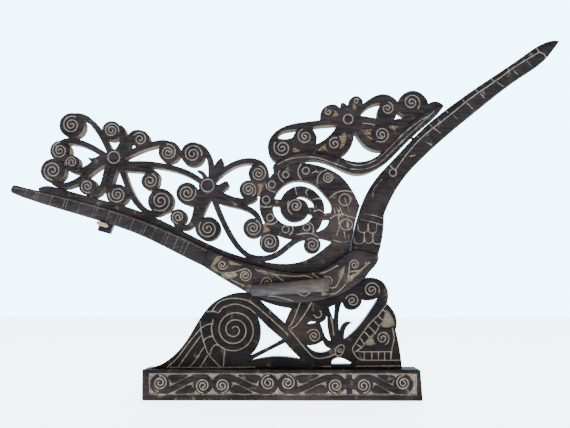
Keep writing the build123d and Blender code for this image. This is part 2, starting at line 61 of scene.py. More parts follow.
# Side-view places are (x, h) in millimetres, with h measured up from the plinth's top.
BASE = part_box("plinth")[1].z * 1000
SPACING = 1.25          # between points along rims and grooves
GROOVE_HALF = 1.0       # half the width of an engraved line
GROOVE_DEPTH = 0.75
HATCH_HALF = 1.1        # half the width of a dark line left in a bare recess
FAINT_CUT = 0.36        # a scratched line, against a full cut
POCKET_SLOPE = 0.55     # how far the side of a recess leans
RIM_ARRIS = 0.1         # rounding along the top of a recess
POCKET_DEPTH = 3.0      # the recesses between some scrolls
FRIEZE_DEPTH = 2.5      # the sunk ground of the plinth's frieze
BELOW_POCKETS = 3.1     # a cut this far in from a face meets only what is pierced through
CREST_HALF = 13.0       # half the thickness of each plank
RAIL_HALF = 16.0
BODY_HALF = 22.0
FOOT_HALF = 12.0
PLINTH_HALF = 30.0
TENON_HALF = 6.0
PEG_HALF = 23.0
PEG_CUT = 10.0          # a cut at this y gives the tail peg's outline
BELOW_FRIEZE = 3.0      # a cut this far in from the plinth's face passes under its sunk frieze
FRIEZE_CUT = 1.3        # and one this far in passes about halfway down it


# ------------------------------------------------------------------ outlines read from the CAD
def half_thickness(node):
    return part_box(node)[1].y * 1000


def triangles(node):
    """The node's triangles as (x, y, h) corners in millimetres."""
    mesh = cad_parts[node].data
    mesh.calc_loop_triangles()
    points = np.array([v.co for v in mesh.vertices]) * 1000
    points[:, 2] -= BASE
    return points[np.array([t.vertices for t in mesh.loop_triangles])]


def chain(segments):
    """Closed loops from unordered segments between (x, h) points."""
    neighbours = {}
    places = {}
    for a, b in segments:
        ka = (round(a[0] * 500), round(a[1] * 500))
        kb = (round(b[0] * 500), round(b[1] * 500))
        if ka == kb:
            continue
        places.setdefault(ka, a)
        places.setdefault(kb, b)
        neighbours.setdefault(ka, []).append(kb)
        neighbours.setdefault(kb, []).append(ka)
    loops = []
    left = set(neighbours)
    while left:
        start = left.pop()
        loop = [start]
        here = start
        while True:
            ahead = [k for k in neighbours[here] if k in left]
            if not ahead:
                break
            here = ahead[0]
            left.discard(here)
            loop.append(here)
        if len(loop) > 5:
            loops.append(np.array([places[k] for k in loop]))
    return loops


def section(node, depth):
    """Loops of the node cut by the plane y = -depth."""
    segments = []
    for tri in triangles(node):
        side = tri[:, 1] + depth
        if side.min() >= 0 or side.max() < 0:
            continue
        cuts = []
        for i, j in ((0, 1), (1, 2), (2, 0)):
            if (side[i] < 0) == (side[j] < 0):
                continue
            p, q, sp, sq = tri[i], tri[j], side[i], side[j]
            if tuple(p) > tuple(q):
                p, q, sp, sq = q, p, sq, sp
            cuts.append((p + (q - p) * (sp / (sp - sq)))[[0, 2]])
        if len(cuts) == 2:
            segments.append(cuts)
    return chain(segments)


def front_edge(node):
    """Loops around the faces that look to the front."""
    count = {}
    for tri in triangles(node):
        normal = np.cross(tri[1] - tri[0], tri[2] - tri[0])
        length = np.linalg.norm(normal)
        if length < 1e-9 or normal[1] / length > -0.5 or tri[:, 1].mean() > -1:
            continue
        for i, j in ((0, 1), (1, 2), (2, 0)):
            key = frozenset((tuple(np.round(tri[i], 3)), tuple(np.round(tri[j], 3))))
            count.setdefault(key, []).append((tri[i][[0, 2]], tri[j][[0, 2]]))
    return chain([found[0] for found in count.values() if len(found) == 1])


def area(loop):
    x, h = loop[:, 0], loop[:, 1]
    return 0.5 * float(np.sum(x * np.roll(h, -1) - np.roll(x, -1) * h))


def inside(points, loops):
    """True for each point that lies within the loops, counting holes."""
    a = np.vstack(loops)
    b = np.vstack([np.roll(loop, -1, axis=0) for loop in loops])
    result = np.zeros(len(points), bool)
    for start in range(0, len(points), 1500):
        p = points[start:start + 1500]
        x, h = p[:, 0:1], p[:, 1:2]
        spans = (a[:, 1] > h) != (b[:, 1] > h)
        run = np.where(b[:, 1] == a[:, 1], 1e-12, b[:, 1] - a[:, 1])
        cross = a[:, 0] + (h - a[:, 1]) * (b[:, 0] - a[:, 0]) / run
        result[start:start + 1500] = (spans & (x < cross)).sum(1) % 2 == 1
    return result


def tidy_loops(loops, smallest=3.0):
    """Even spacing, and the material on the left of each loop."""
    kept = [loop for loop in loops if abs(area(loop)) > smallest]
    result = []
    for index, loop in enumerate(kept):
        others = [other for i, other in enumerate(kept) if i != index]
        hole = bool(others) and bool(inside(loop[:1] + 1e-4, others)[0])
        if (area(loop) < 0) != hole:
            loop = loop[::-1]
        result.append(even(loop, closed=True))
    return result


def pierced(node, below=BELOW_POCKETS):
    """The node's outline and its openings."""
    return tidy_loops(section(node, half_thickness(node) - below))


def recess(node, half, depth, at):
    """A sunk ground: the edge of its land in a cut at y = -at, and the two levels it joins."""
    return tidy_loops(section(node, at)), half - depth, half, POCKET_SLOPE, RIM_ARRIS


def even(points, closed=False, step=SPACING):
    """The same line with corners kept, short steps merged and long ones divided."""
    points = np.asarray(points, float)
    kept = [points[0]]
    for index in range(1, len(points)):
        before = points[index] - points[index - 1]
        after = points[(index + 1) % len(points)] - points[index]
        turn = abs(math.atan2(before[0] * after[1] - before[1] * after[0], before @ after))
        corner = turn > 0.35 or (index == len(points) - 1 and not closed)
        if np.linalg.norm(points[index] - kept[-1]) > (0.25 if corner else 0.55 * step):
            kept.append(points[index])
    ends = kept + kept[:1] if closed else kept
    result = []
    for a, b in zip(ends, ends[1:]):
        parts = max(1, round(np.linalg.norm(b - a) / step))
        result += [a + (b - a) * i / parts for i in range(parts)]
    if not closed:
        result.append(ends[-1])
    return np.array(result)


def normals(line, closed):
    """The direction to the left of a line at each of its points."""
    if closed:
        along = np.roll(line, -1, axis=0) - np.roll(line, 1, axis=0)
    else:
        along = np.gradient(line, axis=0)
    along /= np.maximum(np.linalg.norm(along, axis=1), 1e-9)[:, None]
    return np.stack([-along[:, 1], along[:, 0]], 1)


class Near:
    """Distance to the closest of many points."""

    def __init__(self, lines, closed, step=0.25):
        fine = [even(line, closed, step) for line in lines]
        self.points = np.vstack(fine) if fine else np.zeros((0, 2))
        self.tree = KDTree(max(len(self.points), 1))
        for index, (x, h) in enumerate(self.points):
            self.tree.insert((x, h, 0), index)
        self.tree.balance()

    def distance(self, points):
        if not len(self.points):
            return np.full(len(points), 1e3)
        return np.array([self.tree.find((x, h, 0))[2] for x, h in points])


# ------------------------------------------------------------------ engraved lines
def stroke(*points):
    """A smooth line drawn through the points."""
    points = np.array(points, float)
    if len(points) == 2:
        return even(points)
    padded = np.vstack([2 * points[0] - points[1], points, 2 * points[-1] - points[-2]])
    drawn = []
    for p0, p1, p2, p3 in zip(padded, padded[1:], padded[2:], padded[3:]):
        for t in np.linspace(0, 1, 8, endpoint=False):
            drawn.append(0.5 * (2 * p1 + (p2 - p0) * t + (2 * p0 - 5 * p1 + 4 * p2 - p3) * t * t
                                + (3 * p1 - p0 - 3 * p2 + p3) * t ** 3))
    drawn.append(points[-1])
    return even(drawn)


def spiral(x, h, radius, start, turns, inner=1.7):
    """A spiral line from its outer end in to the middle; positive turns wind anticlockwise."""
    steps = max(24, int(abs(turns) * 2 * math.pi * radius / 1.6))
    drawn = []
    for i in range(steps + 1):
        share = i / steps
        r = radius + (inner - radius) * share ** 0.93
        angle = math.radians(start) + 2 * math.pi * turns * share
        drawn.append((x + r * math.cos(angle), h + r * math.sin(angle)))
    return even(drawn)


def ring(x, h, radius, tall=None):
    tall = tall or radius
    count = max(14, round(2 * math.pi * radius / SPACING))
    angles = np.linspace(0, 2 * math.pi, count + 1)
    return np.stack([x + radius * np.cos(angles), h + tall * np.sin(angles)], 1)


def scroll(x, h, size, start, way):
    """The spiral on a carved disc of the given radius."""
    turns = 1.7 if size < 13.5 else 2.1
    return spiral(x, h, size * 0.79, start, way * turns, 2.0)


# ------------------------------------------------------------------ carving
def rounding(distance, drop, reach):
    """How much the surface falls near a rim."""
    share = np.clip(1 - distance / reach, 0, 1)
    return drop * (1 - np.sqrt(np.clip(1 - share * share, 0, 1)))


def waves(points, size, seed):
    return np.array([noise.noise((x / size + seed, h / size, seed * 3.1)) for x, h in points])


class Carving:
    """A plank carved on both faces: outline, levels, engraved lines and what each point looks like."""

    def __init__(self, name, rim, grooves, half, seed, levels=(), edge=(1.0, 1.5), grid=3.2, wavy=0.25,
                 raw=1.0, ground="raw", wear=None, groove_depth=GROOVE_DEPTH, rows=(0.09, 0.5, 0.91),
                 wall_wave=0.35, faint=(), bare=None, hatch=()):
        self.name = name
        self.rim = rim
        self.grooves = grooves
        self.faint = faint
        self.half = half
        self.seed = seed
        self.levels = levels
        self.edge = edge
        self.grid = grid
        self.wavy = wavy
        self.raw = raw
        self.ground = ground
        self.wear = wear
        self.bare = bare
        self.groove_depth = groove_depth
        self.rows = rows
        self.wall_wave = wall_wave
        self.hatch = list(hatch)
        self.near_hatch = Near(self.hatch, False, 0.2)
        self.near_rim = Near(rim, True)
        self.near_groove = Near(grooves + list(faint), False, 0.2)
        self.near_faint = Near(list(faint), False, 0.2)

    def points(self):
        sets = []
        for loop in self.rim:
            left = normals(loop, True)
            for inset in (0.5, self.edge[1]):
                sets.append((loop + left * inset, inset - 0.08, self.near_rim))
        for line in self.grooves + list(self.faint):
            left = normals(line, False)
            sets.append((line, 0, self.near_groove))
            for side in (-1, 1):
                sets.append((line + left * side * GROOVE_HALF, GROOVE_HALF - 0.1, self.near_groove))
        for line in self.hatch:
            left = normals(line, False)
            for side in (-1, 0, 1):
                sets.append((line + left * side * HATCH_HALF, abs(side) * HATCH_HALF - 0.1, self.near_hatch))
        for loops, _, _, low_reach, high_reach in self.levels:
            near = Near(loops, True)
            for loop in loops:
                fine = even(loop, True, 0.9)
                left = normals(fine, True)
                for inset in (-low_reach, 0, high_reach):
                    sets.append((fine + left * inset, abs(inset) - 0.08, near))
        low = np.min([loop.min(0) for loop in self.rim], 0)
        high = np.max([loop.max(0) for loop in self.rim], 0)
        rng = np.random.default_rng(self.seed)
        xs, hs = np.meshgrid(np.arange(low[0], high[0], self.grid), np.arange(low[1], high[1], self.grid))
        cells = np.stack([xs.ravel(), hs.ravel()], 1)
        cells += rng.uniform(-0.3, 0.3, cells.shape) * self.grid
        clear = (self.near_rim.distance(cells) > self.edge[1] + 0.7)
        clear &= self.near_groove.distance(cells) > GROOVE_HALF + 0.7
        clear &= self.near_hatch.distance(cells) > HATCH_HALF + 0.6
        gathered = [cells[clear]]
        for points, least, near in sets:
            keep = near.distance(points) >= least
            gathered.append(points[keep])
        everything = np.vstack(gathered)
        everything = everything[self.near_rim.distance(everything) > 0.3]
        return everything[inside(everything, self.rim)]

    def mesh(self):
        free = self.points()
        seen = {}
        for point in free:
            seen.setdefault((round(point[0] / 0.22), round(point[1] / 0.22)), point)
        free = np.array(list(seen.values()))
        rim_points = np.vstack(self.rim)
        edges = []
        first = 0
        for loop in self.rim:
            count = len(loop)
            edges += [(first + i, first + (i + 1) % count) for i in range(count)]
            first += count
        given = [Vector(p) for p in np.vstack([rim_points, free])]
        made, _, faces, origin, _, _ = delaunay_2d_cdt(given, edges, [], 0, 1e-5, True)
        flat = np.array([tuple(p) for p in made])
        faces = np.array(faces)
        faces = faces[inside(flat[faces].mean(1), self.rim)]
        place = {}
        for index, sources in enumerate(origin):
            for source in sources:
                place[source] = index
        return flat, faces, [place[i] for i in range(len(rim_points))], edges

    def height(self, flat):
        """Half the thickness at each point, and the masks for bare and limed wood."""
        rim = self.near_rim.distance(flat)
        groove = self.near_groove.distance(flat)
        top = self.half(flat) if callable(self.half) else np.full(len(flat), float(self.half))
        raw = np.zeros(len(flat))
        lime = np.zeros(len(flat))
        for loops, low, high, low_reach, high_reach in self.levels:
            near = Near(loops, True)
            signed = near.distance(flat) * np.where(inside(flat, loops), 1, -1)
            rise = np.clip((signed + low_reach) / (low_reach + high_reach), 0, 1)
            rise = np.sin(rise * math.pi / 2)
            top = top + (low - high) * (1 - rise)
            if high_reach < 0.3:
                floor = np.clip(-signed / low_reach, 0, 1)
                if self.ground == "raw":
                    raw = np.maximum(raw, floor)
                else:
                    lime = np.maximum(lime, 0.8 * floor)
        top = top - rounding(rim, *self.edge)
        top = top + self.wavy * waves(flat, 14, self.seed) + 0.4 * self.wavy * waves(flat, 5, self.seed + 7)
        cut = np.clip(1 - groove / GROOVE_HALF, 0, 1) * np.clip(rim / 1.5, 0, 1)
        cut = cut * np.where(self.near_faint.distance(flat) < groove + 0.05, FAINT_CUT, 1)
        top = top - self.groove_depth * cut
        lime = np.maximum(lime, cut)
        if self.bare:
            raw = np.maximum(raw, self.bare(flat))
        if self.hatch:
            raw *= np.clip(self.near_hatch.distance(flat) / HATCH_HALF, 0, 1)
        return top, raw, lime

    def build(self):
        flat, faces, rim_index, rim_edges = self.mesh()
        top, raw, lime = self.height(flat)
        count = len(flat)
        corners = flat[faces]
        ab = corners[:, 1] - corners[:, 0]
        ac = corners[:, 2] - corners[:, 0]
        turned = ab[:, 0] * ac[:, 1] - ab[:, 1] * ac[:, 0] < 0
        faces = np.where(turned[:, None], faces[:, ::-1], faces)
        used = np.zeros(count, bool)
        used[faces.ravel()] = True
        used[rim_index] = True
        new_index = np.cumsum(used) - 1
        faces = new_index[faces]
        rim_index = new_index[rim_index]
        flat, top, raw, lime = flat[used], top[used], raw[used], lime[used]
        count = len(flat)
        coords = [np.column_stack([flat[:, 0], -top, flat[:, 1]]),
                  np.column_stack([flat[:, 0], top, flat[:, 1]])]
        masks = [np.column_stack([raw, lime]), np.column_stack([raw, lime])]
        polygons = [tuple(f) for f in faces] + [tuple(f[::-1] + count) for f in faces]
        rim_points = np.vstack(self.rim)
        left = np.vstack([normals(loop, True) for loop in self.rim])
        rim_top = top[rim_index]
        size = len(rim_points)
        ring_of = [np.array(rim_index)]
        rng = np.random.default_rng(self.seed + 1)
        for number, share in enumerate(self.rows):
            push = waves(rim_points, 6, self.seed + 20 + number) * self.wall_wave
            push = np.clip(push, -0.2, self.wall_wave) + 0.12
            moved = rim_points + left * push[:, None]
            y = -rim_top + 2 * rim_top * share
            coords.append(np.column_stack([moved[:, 0], y, moved[:, 1]]))
            bare = np.clip(self.raw * (0.85 + 0.3 * rng.random(size)), 0, 1)
            masks.append(np.column_stack([bare, np.zeros(size)]))
            ring_of.append(np.arange(size) + 2 * count + number * size)
        ring_of.append(np.array(rim_index) + count)
        for a, b in rim_edges:
            for near, far in zip(ring_of, ring_of[1:]):
                polygons.append((near[a], far[a], far[b], near[b]))
        points = np.vstack(coords)
        mask = np.vstack(masks)
        worn = self.wear(points[:, [0, 2]]) if self.wear else np.zeros(len(points))
        points[:, 2] += BASE
        return make_piece(self.name, points / 1000, polygons, mask[:, 0], mask[:, 1], worn)


def make_piece(name, points, polygons, raw, lime, worn, sharp=38):
    mesh = bpy.data.meshes.new(name)
    mesh.from_pydata([tuple(p) for p in points], [], [tuple(int(i) for i in f) for f in polygons])
    mesh.validate()
    for key, values in (("raw", raw), ("lime", lime), ("worn", worn)):
        layer = mesh.attributes.new(key, "FLOAT", "POINT")
        layer.data.foreach_set("value", np.asarray(values, np.float32))
    mesh.polygons.foreach_set("use_smooth", [True] * len(mesh.polygons))
    mesh.set_sharp_from_angle(angle=math.radians(sharp))
    mesh.update()
    piece = bpy.data.objects.new(name, mesh)
    bpy.context.scene.collection.objects.link(piece)
    return piece


def merge(piece, other):
    """Add the other piece's mesh to this one."""
    joined = bmesh.new()
    joined.from_mesh(piece.data)
    joined.from_mesh(other.data)
    joined.to_mesh(piece.data)
    joined.free()
    bpy.data.objects.remove(other)


# ------------------------------------------------------------------ materials
def wood(name, dark, light, red, lime, bare, grain=(0.0, 0.0), gloss=0.5, cover=1.0):
    """Hand-carved stained wood: grain along one direction, bare walls,
    lime in the cuts and worn patches."""
    material = bpy.data.materials.new(name)
    material.use_nodes = True
    tree = material.node_tree
    tree.nodes.clear()

    def node(kind, **values):
        made = tree.nodes.new(kind)
        for key, value in values.items():
            setattr(made, key, value)
        return made

    def link(a, b):
        tree.links.new(a, b)

    def maths(operation, a, b=None, clamp=False):
        made = node("ShaderNodeMath", operation=operation, use_clamp=clamp)
        for socket, value in zip(made.inputs, (a, b)):
            if value is None:
                continue
            if isinstance(value, (int, float)):
                socket.default_value = value
            else:
                link(value, socket)
        return made.outputs[0]

    def spots(vector, scale, detail=4.0, rough=0.55):
        made = node("ShaderNodeTexNoise")
        made.inputs["Scale"].default_value = scale
        made.inputs["Detail"].default_value = detail
        made.inputs["Roughness"].default_value = rough
        link(vector, made.inputs["Vector"])
        return made.outputs["Fac"]

    def ramp(value, low, high):
        made = node("ShaderNodeMapRange", interpolation_type="SMOOTHSTEP")
        made.inputs["From Min"].default_value = low
        made.inputs["From Max"].default_value = high
        link(value, made.inputs["Value"])
        return made.outputs["Result"]

    def mix(factor, a, b):
        made = node("ShaderNodeMix", data_type="RGBA")
        link(factor, made.inputs["Factor"])
        for socket, value in ((made.inputs["A"], a), (made.inputs["B"], b)):
            if isinstance(value, tuple):
                socket.default_value = (*value, 1)
            else:
                link(value, socket)
        return made.outputs["Result"]

    def mask(key):
        return node("ShaderNodeAttribute", attribute_name=key).outputs["Fac"]

    place = node("ShaderNodeTexCoord").outputs["Object"]
    along = node("ShaderNodeMapping")
    along.inputs["Rotation"].default_value = (0, math.radians(grain[0]), 0)
    along.inputs["Scale"].default_value = (1, 5, 9)
    link(place, along.inputs["Vector"])
    streaks = spots(along.outputs["Vector"], 42, 5, 0.6)
    fine = spots(along.outputs["Vector"], 190, 3, 0.6)
    blotch = spots(place, 24, 3)
    grit = spots(place, 420, 2, 0.7)

    tone = maths("ADD", maths("MULTIPLY", streaks, 0.6), maths("MULTIPLY", blotch, 0.4))
    colour = mix(ramp(tone, 0.36, 0.68), dark, light)
    colour = mix(maths("MULTIPLY", ramp(fine, 0.55, 0.75), 0.35), colour, tuple(c * 1.9 for c in light))
    rubbed = ramp(maths("ADD", blotch, maths("MULTIPLY", streaks, 0.3)), 0.52, 0.78)
    worn = maths("MULTIPLY", mask("worn"), rubbed)
    colour = mix(worn, colour, red)
    bare_tone = mix(ramp(streaks, 0.35, 0.65), tuple(c * 0.62 for c in bare), bare)
    soot = maths("MULTIPLY", ramp(spots(place, 60, 4), 0.52, 0.72), 0.75)
    bare_tone = mix(soot, bare_tone, light)
    raw_edge = maths("ADD", mask("raw"), maths("MULTIPLY", maths("SUBTRACT", grit, 0.5), 0.5))
    raw_share = maths("MULTIPLY", ramp(raw_edge, 0.3, 0.62), cover)
    colour = mix(raw_share, colour, bare_tone)
    lime_tone = mix(ramp(spots(place, 170, 3), 0.35, 0.7), tuple(c * 0.55 for c in lime), lime)
    gone = maths("MULTIPLY", maths("SUBTRACT", spots(place, 75, 4), 0.5), 0.8)
    lime_edge = maths("ADD", mask("lime"), gone)
    lime_share = maths("MULTIPLY", ramp(lime_edge, 0.06, 0.34), 0.9)
    colour = mix(lime_share, colour, lime_tone)

    shader = node("ShaderNodeBsdfPrincipled")
    link(colour, shader.inputs["Base Color"])
    rough = maths("ADD", maths("MULTIPLY", streaks, 0.28), gloss - 0.12)
    rough = maths("MAXIMUM", rough, maths("MULTIPLY", maths("MAXIMUM", raw_share, lime_share), 0.85), True)
    link(rough, shader.inputs["Roughness"])
    shader.inputs["Specular IOR Level"].default_value = 0.04
    bump = node("ShaderNodeBump")
    bump.inputs["Strength"].default_value = 0.5
    bump.inputs["Distance"].default_value = 0.0006
    relief = maths("ADD", maths("MULTIPLY", streaks, 0.7), maths("MULTIPLY", fine, 0.35))
    relief = maths("ADD", relief, maths("MULTIPLY", grit, 0.15))
    link(relief, bump.inputs["Height"])
    link(bump.outputs["Normal"], shader.inputs["Normal"])
    output = node("ShaderNodeOutputMaterial")
    link(shader.outputs["BSDF"], output.inputs["Surface"])
    return material


STAIN_DARK = (0.0072, 0.0054, 0.0060)
STAIN_LIGHT = (0.0265, 0.0190, 0.0192)
RED_WEAR = (0.041, 0.028, 0.024)
LIME = (0.23, 0.185, 0.155)
TAN = (0.34, 0.24, 0.15)
PALE_TAN = (0.50, 0.40, 0.28)

black_wood = wood("black_wood", STAIN_DARK, STAIN_LIGHT, RED_WEAR, LIME, (0.19, 0.13, 0.08))
body_wood = wood("body_wood", (0.0105, 0.0081, 0.0088), (0.032, 0.0240, 0.0247), RED_WEAR,
                 (0.24, 0.185, 0.125), TAN)
foot_wood = wood("foot_wood", (0.0041, 0.0030, 0.0033), (0.0135, 0.0098, 0.0101), (0.034, 0.022, 0.018),
                 (0.21, 0.165, 0.12), (0.22, 0.175, 0.125), cover=0.6)
plinth_wood = wood("plinth_wood", STAIN_DARK, STAIN_LIGHT, RED_WEAR, (0.28, 0.235, 0.18), TAN, gloss=0.75)
beak_wood = wood("beak_wood", (0.0072, 0.0053, 0.0056), (0.0205, 0.0147, 0.0147), (0.034, 0.022, 0.018),
                 LIME, TAN, grain=(38.0, 0), gloss=0.5)
tail_wood = wood("tail_wood", (0.012, 0.0092, 0.0097), (0.033, 0.0245, 0.0248), RED_WEAR,
                 (0.10, 0.085, 0.073), TAN, grain=(-20.0, 0))
bar_wood = wood("bar_wood", (0.029, 0.0245, 0.025), (0.064, 0.054, 0.054), (0.13, 0.085, 0.06), LIME,
                PALE_TAN, gloss=0.65)
peg_wood = wood("peg_wood", (0.20, 0.13, 0.07), (0.36, 0.25, 0.14), RED_WEAR, LIME, PALE_TAN, gloss=0.65)


def dress(piece, material, slot_name, *nodes):
    piece.data.materials.append(material)
    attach(piece, "root")
    if nodes:
        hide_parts(*nodes)


def patch(*spots, strength=1.0):
    """Patches at the given places and sizes that fade out from their centres."""
    def share(points):
        total = np.zeros(len(points))
        for x, h, wide, tall in spots:
            far = np.hypot((points[:, 0] - x) / wide, (points[:, 1] - h) / tall)
            total = np.maximum(total, strength * np.clip(1.3 - far, 0, 1))
        return total
    return share


# ------------------------------------------------------------------ lower crest
CREST_SCROLLS = [
    (-316, 363.2, 17.0, 70, 1), (-333, 324.5, 15.2, 95, 1), (-343.5, 294.5, 17.5, -100, -1),
    (-315, 307, 11, -150, -1), (-291.3, 271, 12.6, -70, -1), (-246.3, 258.2, 16.0, 180, 1),
    (-256, 354.8, 14.0, 0, 1), (-213, 341.6, 13.0, 140, -1), (-170.8, 321.6, 15.2, 90, -1),
    (-197.5, 278.5, 13.4, 60, -1), (-181.5, 248.5, 19.5, -120, 1), (-134, 319, 17.5, 0, 1),
    (-142, 260.6, 17.0, 20, -1), (-155, 224.5, 12.3, -100, -1), (-110.3, 207.2, 18.2, 140, 1),
    (-35.6, 289.4, 14.8, 80, -1), (-50, 265.5, 14.3, -60, 1), (-43.5, 208, 15.2, 60, -1),
    (-19, 187, 15.6, 200, -1), (44.5, 183, 12.8, 120, -1)]
HUBS = [(-252, 314, 8.8), (-111.5, 271.5, 9.4)]
RING_EYES = [(5, 287.5, 5), (35, 293.5, 5.5), (68, 283, 7), (-15.5, 273, 5.5), (-24, 250, 5.8),
             (-18, 223.5, 5.5), (5, 206, 5.5), (36, 209, 5.5)]


def ring_lines():
    lines = []
    for x, h, radius in RING_EYES:
        lines.append(ring(x, h, radius * 0.92))
        if radius > 5.8:
            lines.append(ring(x, h, radius * 0.4))
    lines += [ring(93, 250, 8.5), ring(95, 213, 9, 8), spiral(20, 241, 10.5, 190, -1.8)]
    return lines


ring_arcs = [
    stroke((-4, 294), (-6, 288), (-3, 281), (1, 277)), stroke((28, 304), (24, 296), (24, 288), (28, 281)),
    stroke((66, 295), (58, 291), (53, 284), (52, 275)),
    stroke((-24, 273), (-23, 268), (-18, 264), (-12, 262)),
    stroke((-33, 241), (-25, 239), (-16, 240)), stroke((-23, 214), (-16, 213.5), (-10, 216), (-7, 220)),
    stroke((13, 212), (16, 207), (14, 201), (11, 198)), stroke((37, 218), (42, 215), (46, 210), (46, 204)),
    stroke((71, 253), (78, 259), (88, 263), (98, 263), (107, 261)),
    stroke((71, 222), (80, 227), (90, 228), (100, 225), (110, 222)),
    stroke((19, 269), (21, 260)), stroke((40, 268), (35, 262), (37, 257)),
    stroke((46, 250), (52, 252), (60, 251)),
    stroke((48, 233), (55, 234.5), (62, 231)), stroke((9, 247), (8, 240), (10, 233), (14, 229)),
    stroke((22, 198), (35, 200), (45, 199), (52, 195))]


ring_scratches = [
    stroke((76, 190), (88, 187), (104, 189)), stroke((85, 240), (90, 227)), stroke((81, 238), (86, 226)),
    stroke((46, 291), (50, 292.5), (54, 291), (57, 293))]
scratch_rng = np.random.default_rng(41)
for _ in range(15):
    x, h = scratch_rng.uniform((76, 190), (100, 246))
    slant = scratch_rng.uniform(-2.5, 1.5)
    ring_scratches.append(stroke((x, h), (x + slant, h + scratch_rng.uniform(4, 9))))


lower = Carving(
    "lower_crest_carved",
    pierced("lower_crest"),
    [scroll(*values) for values in CREST_SCROLLS] + [ring(*values) for values in HUBS]
    + ring_lines() + ring_arcs,
    CREST_HALF, seed=3, wear=patch((95, 215, 42, 55), (60, 280, 30, 20), strength=0.8), wavy=0.3,
    faint=ring_scratches,
    bare=patch((-8.5, 247, 6, 5), (41.5, 234.5, 5, 4.5), (65, 228, 6, 4), strength=0.5),
    levels=[recess("lower_crest", CREST_HALF, POCKET_DEPTH,
                   half_thickness("lower_crest") - POCKET_DEPTH / 2)],
)
# The crest's tenon comes out below the tail, where the flat peg locks it.
TENON_SIDES = [(-277, 205), (-258.5, 200), (-244, 238), (-268, 246)]
tenon = Carving("tenon", [even(TENON_SIDES, closed=True)], [], TENON_HALF, seed=4, edge=(0.7, 1.0), grid=2.0,
                raw=0.0, wall_wave=0.2, wear=patch((-262, 203, 14, 8)))
lower_piece = lower.build()
merge(lower_piece, tenon.build())
dress(lower_piece, black_wood, "stained_wood", "lower_crest")


# ------------------------------------------------------------------ upper crest
UPPER_SPIRALS = [
    (0, 328, 13, 150, 1.9), (34, 345, 11.5, 110, 1.8), (78, 334, 9.5, 70, 1.4), (69, 382, 5.5, 120, 1.0),
    (111, 398, 4.0, 60, 1.0), (148, 348, 12, -120, 1.9), (157, 387, 9.5, 80, -1.6),
    (193, 396, 13, -40, 1.9)]
upper_lines = [spiral(*values) for values in UPPER_SPIRALS] + [ring(98.5, 371, 7)]
upper_rail_lines = [
    stroke((-6, 303), (8, 310), (28, 313.5), (50, 313), (75, 305), (95, 297.5)),
    stroke((95, 306), (105, 302), (115, 301), (125, 303), (135, 307), (150, 318), (160, 328), (180, 348),
           (200, 364), (215, 374)),
    stroke((100, 296), (115, 295), (130, 297.5), (145, 305), (160, 319), (180, 338.5), (205, 362),
           (225, 381)),
    stroke((120, 364.5), (130, 364), (138, 362))]
upper_hatch = [stroke(a, b) for a, b in (
    ((118, 357), (128, 343)), ((122, 356), (132, 345)), ((127, 357), (136, 349)), ((132, 358), (138, 352)),
    ((128, 343), (137, 338)), ((119, 352), (133, 353)), ((125, 347), (136, 347)), ((86, 331), (95, 329.5)),
    ((87, 335), (96.5, 334)), ((88.5, 339), (97, 338.5)), ((88, 343), (96.5, 343.5)),
    ((85, 347), (95, 348.5)),
    ((17, 324), (24, 328)), ((16, 328), (21, 331)), ((22, 321), (28, 324)), ((52, 324), (58, 331)),
    ((57, 323), (63, 331)), ((62, 322.5), (66, 327)), ((54, 329), (64, 325)), ((162, 362), (166, 354)),
    ((168, 362), (171, 356)))]
UPPER_CUT = 9.8         # a cut at this y meets only what is pierced through
RAIL_CUT = 14.8         # and one at this y meets only the rail
RAIL_SHOULDER = 2.4
upper = Carving(
    "upper_crest_carved", tidy_loops(section("upper_crest", UPPER_CUT)), upper_lines, RAIL_HALF, seed=5,
    hatch=upper_hatch, faint=upper_rail_lines,
    levels=[recess("upper_crest", CREST_HALF, POCKET_DEPTH, CREST_HALF - POCKET_DEPTH / 2),
            (tidy_loops(section("upper_crest", RAIL_CUT)), CREST_HALF, RAIL_HALF, RIM_ARRIS, RAIL_SHOULDER)],
)
dress(upper.build(), black_wood, "stained_wood", "upper_crest")


# ------------------------------------------------------------------ body
body_lines = [
    stroke((-90, 165), (-96, 163), (-101, 157), (-104, 149), (-99, 144), (-92, 141)),
    stroke((-96, 143), (-86, 137.5), (-72, 129.5), (-60, 123.5), (-52, 119)),
    spiral(-88, 153, 7.2, -30, -1.4),
    stroke((-92, 140.5), (-80, 141), (-70, 142.5), (-62, 145), (-54.5, 147)),
    spiral(-54.5, 137.3, 9.8, 90, -1.9, 2.3),
    stroke((-39, 146), (-35, 143.5), (-31, 143)),
    stroke((-28, 142), (-18, 140.5), (-10, 138), (-4, 133), (1, 130)),
    stroke((-8, 138.5), (5, 137), (20, 136), (34, 137), (44, 133.5)),
    stroke((45, 140), (48, 137), (53, 134)),
    stroke((55, 140), (65, 143), (73, 147), (80, 151)), spiral(-22, 126.5, 8.8, 175, -1.4),
    spiral(67.5, 128.5, 7.2, 110, -1.5), stroke((66, 119.5), (76, 119), (81, 123), (84, 130), (86, 138)),
    stroke((62, 110), (72, 109.5), (80, 112), (88, 118.5), (96, 127), (108, 139), (122, 151), (127, 155)),
    stroke((97, 135), (98, 142), (99, 151)), spiral(106.5, 153, 7.5, 190, -1.6),
    stroke((99, 142), (107, 143.5), (113, 144)),
    stroke((24, 110), (33, 107), (40, 111)), stroke((-20, 107), (-10, 106), (0, 104), (15, 100)),
]
body_carving = Carving(
    "body_carved", pierced("body"), body_lines, BODY_HALF, seed=8, ground="lime",
    levels=[recess("body", BODY_HALF, POCKET_DEPTH, half_thickness("body") - POCKET_DEPTH / 2)],
    edge=(2.2, 3.6), raw=0.1, wavy=0.4, wear=patch((60, 105, 40, 14), strength=0.25))
dress(body_carving.build(), body_wood, "stained_wood", "body")


